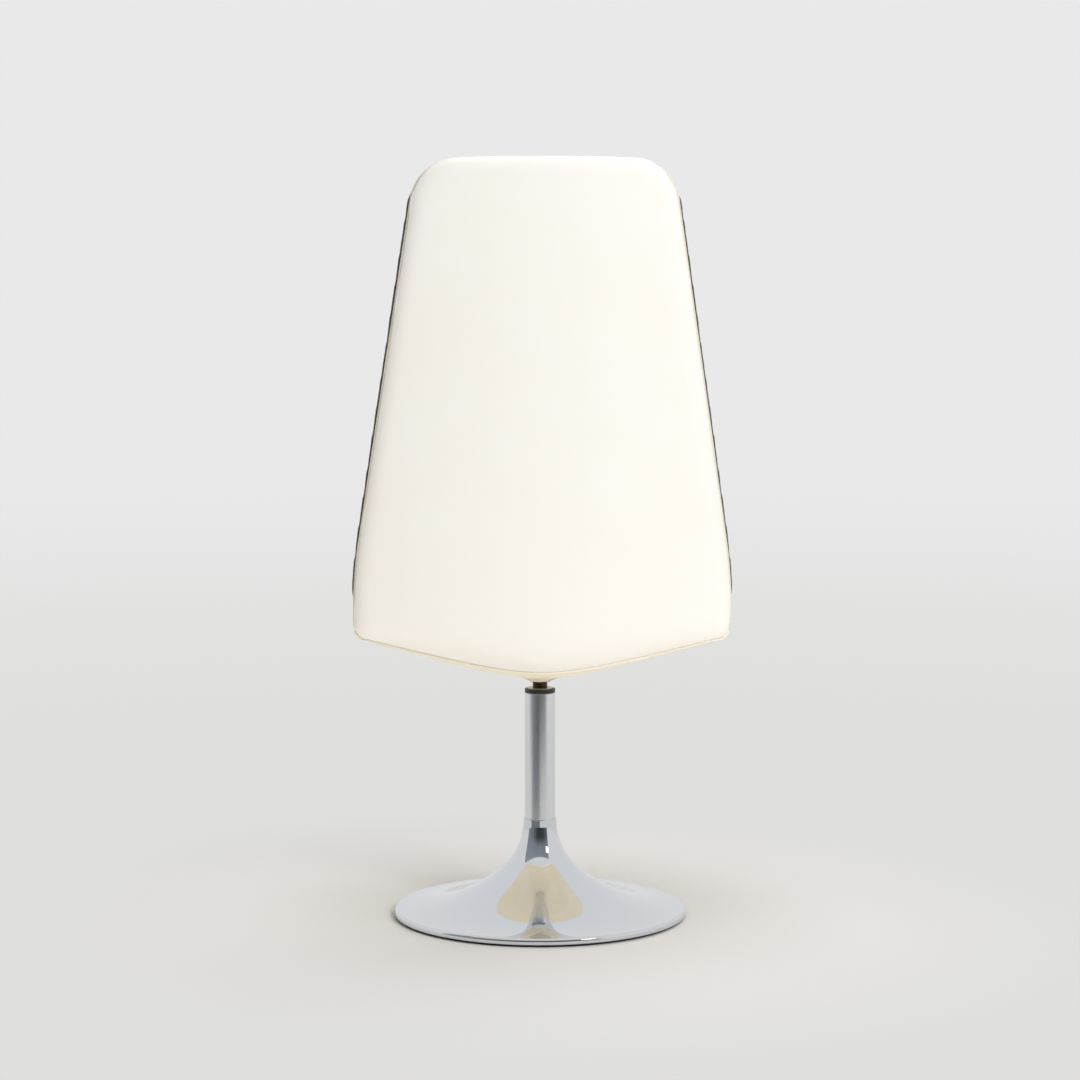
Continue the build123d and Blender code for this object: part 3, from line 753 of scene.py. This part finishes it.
def coated_cloth(name, light, aged, grain_mm):
    """Ivory PVC-coated cloth: slow drift between two tones, embossed cells, uneven shine."""
    material, tree, shader = new_finish(name, IOR=1.52)
    place = add_node(tree, "TexCoord").outputs["Object"]
    slow = {"Vector": place, "Scale": 1000 / drift_mm, "Detail": 4.0, "Roughness": 0.55}
    drift = add_node(tree, "TexNoise", slow)
    tone = add_node(tree, "ValToRGB", {"Fac": drift.outputs["Fac"]})
    tone.color_ramp.elements[0].position, tone.color_ramp.elements[1].position = 0.3, 0.7
    tone.color_ramp.elements[0].color, tone.color_ramp.elements[1].color = linear(aged), linear(light)
    cells = add_node(tree, "TexVoronoi", {"Vector": place, "Scale": 1000 / grain_mm}, feature="SMOOTH_F1")
    pores = add_node(tree, "TexNoise", {"Vector": place, "Scale": 1000 / (3 * grain_mm), "Detail": 2.0})
    both = {0: cells.outputs["Distance"], 1: pores.outputs["Fac"]}
    height = add_node(tree, "Math", both, operation="MULTIPLY")
    emboss = add_node(tree, "Bump", {"Height": height.outputs[0], "Strength": 0.16, "Distance": 0.0003})
    shine = add_node(tree, "MapRange", {"Value": pores.outputs["Fac"], "To Min": 0.38, "To Max": 0.5})
    tree.links.new(tone.outputs["Color"], shader.inputs["Base Color"])
    tree.links.new(shine.outputs["Result"], shader.inputs["Roughness"])
    tree.links.new(emboss.outputs["Normal"], shader.inputs["Normal"])
    return material


cover_cloth = coated_cloth("ivory_pvc_coated_cloth", "#FAF8F3", "#F9F6EF", 2.0)
# The underside's two tones are warmer and yellower than the cover's: painted warm bounce light from the
# floor under the seat. The slow drift between them is the same as on the cover.
under_cloth = coated_cloth("ivory_pvc_coated_cloth_painted_warm_bounce", "#F8EFDA", "#F4E8CD", 2.0)
strip_cloth = coated_cloth("ivory_pvc_piping_strip", "#F8F4EA", "#F2EADA", 1.4)
wear(cover_cloth, back_panel)
wear(under_cloth, under_panel)
wear(strip_cloth, rim_welt, seam_piping)
print("coated cloth: 3 tones")

# %% [markdown]
# ## Charcoal woven cloth
# The padding wears a flat wool weave: threads of two near-black greys pass over and under each
# other. The pattern must follow the pad and turn over its edges, so each point carries its own
# place on the cloth: the distance from the pad's middle, less the depth. Sine waves along the two
# thread directions draw the weave. Threads of real cloth are about one millimetre apart. They are
# drawn two and a half apart so that they show.

# %% Woven cloth finish
thread_mm, slub_mm, wander_mm = 2.5, 20.0, 1.2
for pad in (back_pad, seat_pad):
    spots = unfolded(mesh_points(pad.data))
    spots[:, 1] -= (spots[:, 1].max() + spots[:, 1].min()) / 2
    laid = np.abs(spots) * np.array([1.0, 1.0, 0.0])
    laid[:, :2] -= spots[:, 2:]
    place = pad.data.attributes.new("cloth_place", "FLOAT_VECTOR", "POINT")
    place.data.foreach_set("vector", (laid * MM).ravel())

woven, tree, shader = new_finish(
    "charcoal_wool_flat_weave", Roughness=0.85, Sheen_Weight=0.25, Sheen_Roughness=0.4
)
laid = add_node(tree, "Attribute", attribute_name="cloth_place").outputs["Vector"]
slub = add_node(tree, "TexNoise", {"Vector": laid, "Scale": 1000 / slub_mm, "Detail": 2.0})
wander = {0: slub.outputs["Color"], "Scale": wander_mm * MM}
uneven = add_node(tree, "VectorMath", wander, operation="SCALE")
threads = add_node(tree, "VectorMath", {0: laid, 1: uneven.outputs[0]}, operation="ADD")
half_wave = np.pi * 1000 / thread_mm
turns = add_node(tree, "VectorMath", {0: threads.outputs[0], "Scale": half_wave}, operation="SCALE")
waves = add_node(tree, "VectorMath", {0: turns.outputs[0]}, operation="SINE")
split = add_node(tree, "SeparateXYZ", {0: waves.outputs[0]})
over = add_node(tree, "Math", {0: split.outputs["X"], 1: split.outputs["Y"]}, operation="MULTIPLY")
height = add_node(tree, "Math", {0: over.outputs[0]}, operation="ABSOLUTE")
which = add_node(tree, "MapRange", {"Value": over.outputs[0], "From Min": -0.5, "From Max": 0.5})
greys = {"Factor": which.outputs["Result"], 6: linear("#2B2A2B"), 7: linear("#454244")}
yarn = add_node(tree, "Mix", greys, data_type="RGBA")
relief = add_node(tree, "Bump", {"Height": height.outputs[0], "Strength": 0.6, "Distance": 0.0005})
tree.links.new(yarn.outputs[2], shader.inputs["Base Color"])
tree.links.new(relief.outputs["Normal"], shader.inputs["Normal"])
wear(woven, back_pad, seat_pad)
print("woven cloth: one thread every", thread_mm, "mm")

# %% [markdown]
# ## Metals
# The trumpet is mirror chrome over spun steel: polishing leaves faint rings round the axis, which
# are not drawn here; its relief is a broad, even noise. The column is chrome brushed lengthwise, so
# its reflections blur into upright streaks. Each metal is a base colour, a roughness that wanders a
# little, and a fine relief of noise stretched over real lengths.

# %% Metal finishes
def worked_metal(name, colour, smooth, rough, stretch_mm, relief):
    """Metal: noise stretched over real lengths (x, y, z) in mm drives roughness and a fine relief."""
    material, tree, shader = new_finish(name, Metallic=1.0, Base_Color=linear(colour))
    marks = stretched_noise(tree, stretch_mm, 3.0)
    gloss = add_node(tree, "MapRange", {"Value": marks, "To Min": smooth, "To Max": rough})
    bump = add_node(tree, "Bump", {"Height": marks, "Strength": relief, "Distance": 0.0001})
    tree.links.new(gloss.outputs["Result"], shader.inputs["Roughness"])
    tree.links.new(bump.outputs["Normal"], shader.inputs["Normal"])
    return material


chrome = worked_metal("mirror_chrome_on_spun_steel", "#DADDE1", 0.02, 0.09, (60, 60, 60), 0.02)
brushed = worked_metal("chrome_brushed_lengthwise", "#E0E1E3", 0.22, 0.36, (0.8, 0.8, 90), 0.12)
steel = worked_metal("plain_rolled_steel", "#8B8B8C", 0.35, 0.55, (4, 4, 4), 0.1)
zinc = worked_metal("zinc_plated_steel", "#C2BFB0", 0.25, 0.42, (1.5, 1.5, 1.5), 0.08)
oiled = worked_metal("dark_oiled_steel", "#4A3A30", 0.3, 0.5, (2, 2, 12), 0.15)
brass = worked_metal("turned_brass", "#C9A765", 0.2, 0.35, (3, 3, 0.4), 0.1)
wear(chrome, trumpet)
wear(brushed, column)
wear(zinc, washer)
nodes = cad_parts
steel_nodes = ("base_plate", "column_plug", "thrust_ball", "retaining_ring", "spindle_hub", "seat_plate")
zinc_nodes = ("tie_screw", "plate_screws", "screw_washers")
wear(steel, *(nodes[name] for name in steel_nodes))
wear(zinc, *(nodes[name] for name in zinc_nodes))
wear(oiled, nodes["spindle"])
wear(brass, nodes["threaded_inserts"])
print("metals: 6 finishes")

# %% [markdown]
# ## Plastics, rubber and wood
# The bearing bushes are moulded nylon, the floor pad is cut from rubber sheet, the shell is moulded
# fibre with a pale skin and the block under the seat is sawn beech. Of the shell only an edge shows
# round the padding, and most of the others are out of sight, but each still gets the grain of its
# own making.

# %% Moulded and sawn finishes
def plain_stuff(name, dark, light, rough, stretch_mm, relief):
    """Matt material: noise stretched over real lengths in mm mixes two tones and lifts a relief."""
    material, tree, shader = new_finish(name, Roughness=rough)
    grain = stretched_noise(tree, stretch_mm, 4.0)
    tones = {"Factor": grain, 6: linear(dark), 7: linear(light)}
    tone = add_node(tree, "Mix", tones, data_type="RGBA")
    bump = add_node(tree, "Bump", {"Height": grain, "Strength": relief, "Distance": 0.0003})
    tree.links.new(tone.outputs[2], shader.inputs["Base Color"])
    tree.links.new(bump.outputs["Normal"], shader.inputs["Normal"])
    return material


nylon = plain_stuff("black_moulded_nylon", "#1C1B1A", "#33302D", 0.42, (2, 2, 2), 0.15)
rubber = plain_stuff("black_rubber_sheet", "#141414", "#242322", 0.75, (1.5, 1.5, 1.5), 0.3)
fibre = plain_stuff("ivory_moulded_fibre", "#E9E2D0", "#F1EBDC", 0.6, (6, 6, 6), 0.3)
beech = plain_stuff("sawn_beech", "#B98F63", "#D3AE81", 0.6, (40, 3, 3), 0.3)
wear(nylon, flange, nodes["lower_bush"])
wear(rubber, nodes["floor_pad"])
wear(fibre, nodes["shell"])
wear(beech, nodes["mounting_block"])
print("plain materials: 4 finishes")

# %% [markdown]
# ## Studio
# The photograph was taken in a pale studio, with a large soft lamp on the right of the camera and
# weaker ones around it. The floor fades into the background, so no horizon shows. The room behind
# the camera is dark, and the polished neck and the column mirror that as dark bands. A grey floor
# and a wall that pales upwards and to its sides stand for that room, and only reflections see them.

# %% Floor, background and dark room
rings = np.linspace(0, 1, 24) ** 2 * 30000.0
floor_points = revolved(np.stack([rings, np.full(24, -0.4)], axis=-1), 96)
floor = make_object("floor", floor_points, grid_faces(24, 96, ring_columns=True), (0, 0, 1))


def sector(name, left, right, rows):
    """Part of a turned surface about the chair: x = -r sin a, y = r cos a, for angles a in degrees
    from the camera's direction, and rows of radius r and height."""
    angle = np.radians(np.linspace(left, right, 40))
    radius, height = np.array(rows)[:, :1], np.array(rows)[:, 1:]
    points = np.stack([-radius * np.sin(angle), radius * np.cos(angle), height + 0 * angle], axis=-1)
    card = make_object(name, points, grid_faces(len(rows), 40))
    card.visible_camera = card.visible_diffuse = card.visible_shadow = False
    return card


dark_floor = sector("dark_room_floor", -62.0, -2.0, [(500.0, 0.5), (2400.0, 0.5)])
dark_wall = sector("dark_room_wall", -80.0, 46.0, [(2400.0, 0.5), (2400.0, 2900.0)])

painted, tree, shader = new_finish(
    "pale_studio_floor", Base_Color=linear("#E8E7E6"), Roughness=0.7, Specular_IOR_Level=0.0
)
place = add_node(tree, "TexCoord").outputs["Object"]
away = add_node(tree, "VectorMath", {0: place}, operation="LENGTH").outputs["Value"]
near = {"Value": away, "From Min": 0.2, "From Max": 0.8}
wide = {"Value": away, "From Min": 1.0, "From Max": 7.0}
fade = add_node(tree, "MapRange", near, interpolation_type="SMOOTHSTEP")
rise = add_node(tree, "MapRange", wide, interpolation_type="SMOOTHSTEP")
tones = {"Factor": rise.outputs["Result"], 6: linear("#DFDFDD"), 7: linear("#E9E9EA")}
sweep = add_node(tree, "Mix", tones, data_type="RGBA")
far = add_node(tree, "Emission", {"Color": sweep.outputs[2]})
layers = {0: fade.outputs["Result"], 1: shader.outputs[0], 2: far.outputs[0]}
floor_mix = add_node(tree, "MixShader", layers)
tree.links.new(floor_mix.outputs[0], tree.nodes["Material Output"].inputs["Surface"])
floor.data.materials.append(painted)
unlit, tree, shader = new_finish("dark_room_wall", Roughness=0.9)
split = add_node(tree, "SeparateXYZ", {0: add_node(tree, "TexCoord").outputs["Object"]})
upper = add_node(tree, "MapRange", {"Value": split.outputs["Z"], "From Min": 0.7, "From Max": 1.5})
across = add_node(tree, "Math", {0: split.outputs["X"]}, operation="ABSOLUTE")
aside = add_node(tree, "MapRange", {"Value": across.outputs[0], "From Min": 0.7, "From Max": 2.2})
either = {0: upper.outputs[0], 1: aside.outputs[0]}
paler = add_node(tree, "Math", either, operation="ADD", use_clamp=True)
tones = {"Factor": paler.outputs[0], 6: linear("#3E4347"), 7: linear("#8C939A")}
tree.links.new(add_node(tree, "Mix", tones, data_type="RGBA").outputs[2], shader.inputs["Base Color"])
wear(unlit, dark_wall)
matt_grey = new_finish("dark_room_floor", Base_Color=linear("#7A7E82"), Roughness=0.9)[0]
wear(matt_grey, dark_floor)

world = bpy.data.worlds.new("studio")
bpy.context.scene.world = world
world.use_nodes = True
tree = world.node_tree
ray = add_node(tree, "LightPath")
direct = {0: ray.outputs["Is Camera Ray"], 1: ray.outputs["Is Glossy Ray"]}
seen = add_node(tree, "Math", direct, operation="ADD")
through = {0: seen.outputs[0], 1: ray.outputs["Is Transmission Ray"]}
seen = add_node(tree, "Math", through, operation="ADD", use_clamp=True)
shown = add_node(tree, "Background", {"Color": linear("#E9E9EA"), "Strength": 1.0})
ambient = add_node(tree, "Background", {"Color": linear("#F4F2EE"), "Strength": 0.28})
both = add_node(tree, "MixShader", {0: seen.outputs[0], 1: ambient.outputs[0], 2: shown.outputs[0]})
tree.links.new(both.outputs[0], tree.nodes["World Output"].inputs["Surface"])
print("studio: floor, dark room and background")

# %% Lamps
def soft_lamp(name, place, aim, size, watts, colour="#FFFFFF", mirrored=True):
    """Square area lamp at a place, turned to an aim point, in metres; polished metal may not show it."""
    lamp = bpy.data.objects.new(name, bpy.data.lights.new(name, "AREA"))
    lamp.data.size = size
    lamp.data.energy = watts
    lamp.data.color = linear(colour)[:3]
    lamp.location = place
    lamp.rotation_euler = (Vector(aim) - Vector(place)).to_track_quat("-Z", "Y").to_euler()
    lamp.visible_glossy = mirrored
    bpy.context.scene.collection.objects.link(lamp)


soft_lamp("key_lamp", (-2.0, 3.6, 2.3), (0, 0, 0.6), 1.6, 88.0, mirrored=False)
soft_lamp("right_lamp", (-1.25, 1.5, 1.4), (0, 0, 0.3), 0.4, 2.5)
soft_lamp("left_lamp", (2.6, 1.0, 1.6), (0, 0, 0.5), 0.9, 4.5, "#FFF3E0")
soft_lamp("top_lamp", (0.0, 0.3, 4.2), (0, 0, 0), 3.0, 70.0, mirrored=False)
soft_lamp("front_lamp", (-1.5, -3.2, 2.6), (0, 0, 0.6), 2.0, 40.0, mirrored=False)
soft_lamp("floor_bounce", (0.0, 0.2, 0.02), (0, 0.2, 1.0), 1.4, 2.5, "#FFF3E0", mirrored=False)
print("lamps: 6")

# %% [markdown]
# ## Close
# The colours are shown through the Standard view transform. The dressed chair has to stay within
# the CAD model's box, apart from a little fullness of cloth.

# %% Standard view transform
bpy.context.scene.view_settings.view_transform = "Standard"
